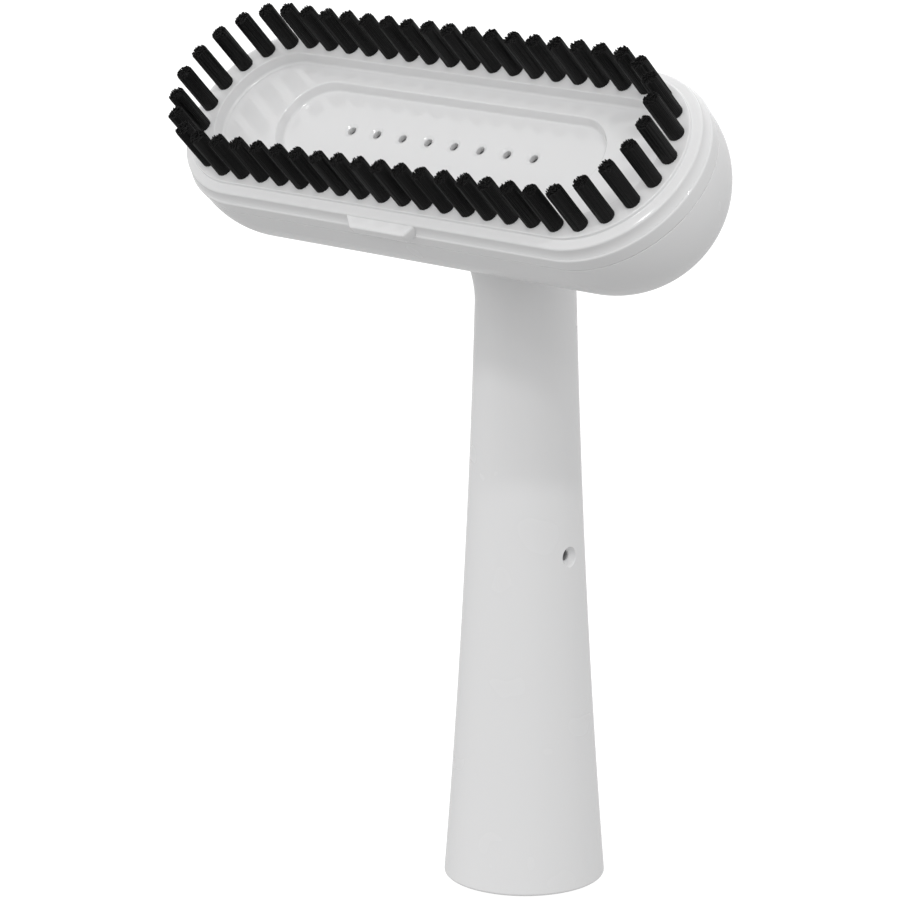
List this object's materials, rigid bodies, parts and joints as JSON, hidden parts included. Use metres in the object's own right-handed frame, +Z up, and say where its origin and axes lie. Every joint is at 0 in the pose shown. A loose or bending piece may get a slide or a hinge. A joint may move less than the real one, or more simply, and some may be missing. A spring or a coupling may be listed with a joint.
{
  "type": "garment steamer",
  "caption": "Hand-held garment steamer: wide oval steam head with a ring of bristles on a bent neck, on a flared round handle that stands on its foot.",
  "frame": {"origin": "centre of the underside of the foot, where the steamer stands", "axes": "+Z up along the handle, -Y the side the steam face looks to, +X along the steam head"},
  "size_m": [0.165, 0.0839, 0.2254],
  "materials": {
    "white_shell": "satin white moulding",
    "bezel": "satin white moulding",
    "brush_ring": "satin white moulding",
    "bristle": "nylon filaments",
    "plate": "coated plate",
    "silicone": "matt silicone",
    "cast_metal": "as cast",
    "sheet_metal": "stamped sheet",
    "screw": "zinc plated",
    "element": "heat tinted",
    "dark_plastic": "moulded",
    "ceramic": "glazed ceramic",
    "mica": "pressed mica sheet",
    "clear_tank": "clear blue plastic",
    "soft_grey": "soft-touch",
    "black_rubber": "matt",
    "white_inner": "plain moulding",
    "hose": "milky silicone",
    "coil": "taped winding",
    "board": "solder mask",
    "lamp": "diffuse",
    "lens": "frosted",
    "weight": "as cast"
  },
  "bodies": {
    "body": {"handle_shell": "white_shell", "head_rear_shell": "white_shell", "front_bezel": "bezel", "steam_plate": "plate", "plate_gasket": "silicone", "boiler_body": "cast_metal", "boiler_gasket": "silicone", "boiler_cover": "sheet_metal", "boiler_screws": "screw", "boiler_mount_screws": "screw", "heating_element": "element", "thermostat": "dark_plastic", "thermal_fuse": "ceramic", "heat_shield": "mica", "water_tank": "clear_tank", "neck_nut": "white_inner", "head_screws": "screw", "suction_tube": "hose", "feed_tube": "hose", "pump_body": "white_inner", "pump_coil": "coil", "pump_yoke": "sheet_metal", "pump_spring": "screw", "pump_cushions": "black_rubber", "control_board": "board", "board_screws": "screw", "micro_switch": "dark_plastic", "button_spring": "screw", "power_switch": "dark_plastic", "status_lamp": "lamp", "lamp_lens": "lens", "cord_gland": "black_rubber", "base_weight": "weight", "base_cap": "white_inner", "base_screws": "screw", "base_pad": "black_rubber"},
    "brush": {"brush_frame": "brush_ring", "bristle_tufts": "bristle"},
    "button": {"steam_button": "soft_grey"},
    "slider": {"power_slider": "soft_grey"},
    "plug": {"fill_plug": "soft_grey", "plug_seal": "black_rubber"},
    "plunger": {"pump_plunger": "screw"}
  },
  "joints": [
    {"name": "brush_pull_off", "type": "slide", "parent": "body", "child": "brush", "axis": [0, -0.7071, 0.7071], "range_m": [0, 0.025]},
    {"name": "steam_button_press", "type": "slide", "parent": "body", "child": "button", "axis": [0, -1, 0], "range_m": [0, 0.0015], "stiffness_N_per_m": 600, "springref_m": -0.001, "deforming": ["button_spring"]},
    {"name": "power_slide", "type": "slide", "parent": "body", "child": "slider", "axis": [0, 0, 1], "range_m": [0, 0.005]},
    {"name": "fill_plug_pull", "type": "slide", "parent": "body", "child": "plug", "axis": [0, 1, 0], "range_m": [0, 0.015]},
    {"name": "pump_stroke", "type": "slide", "parent": "body", "child": "plunger", "axis": [0, 0, 1], "range_m": [-0.003, 0], "stiffness_N_per_m": 300, "springref_m": 0.001, "deforming": ["pump_spring"]}
  ]
}
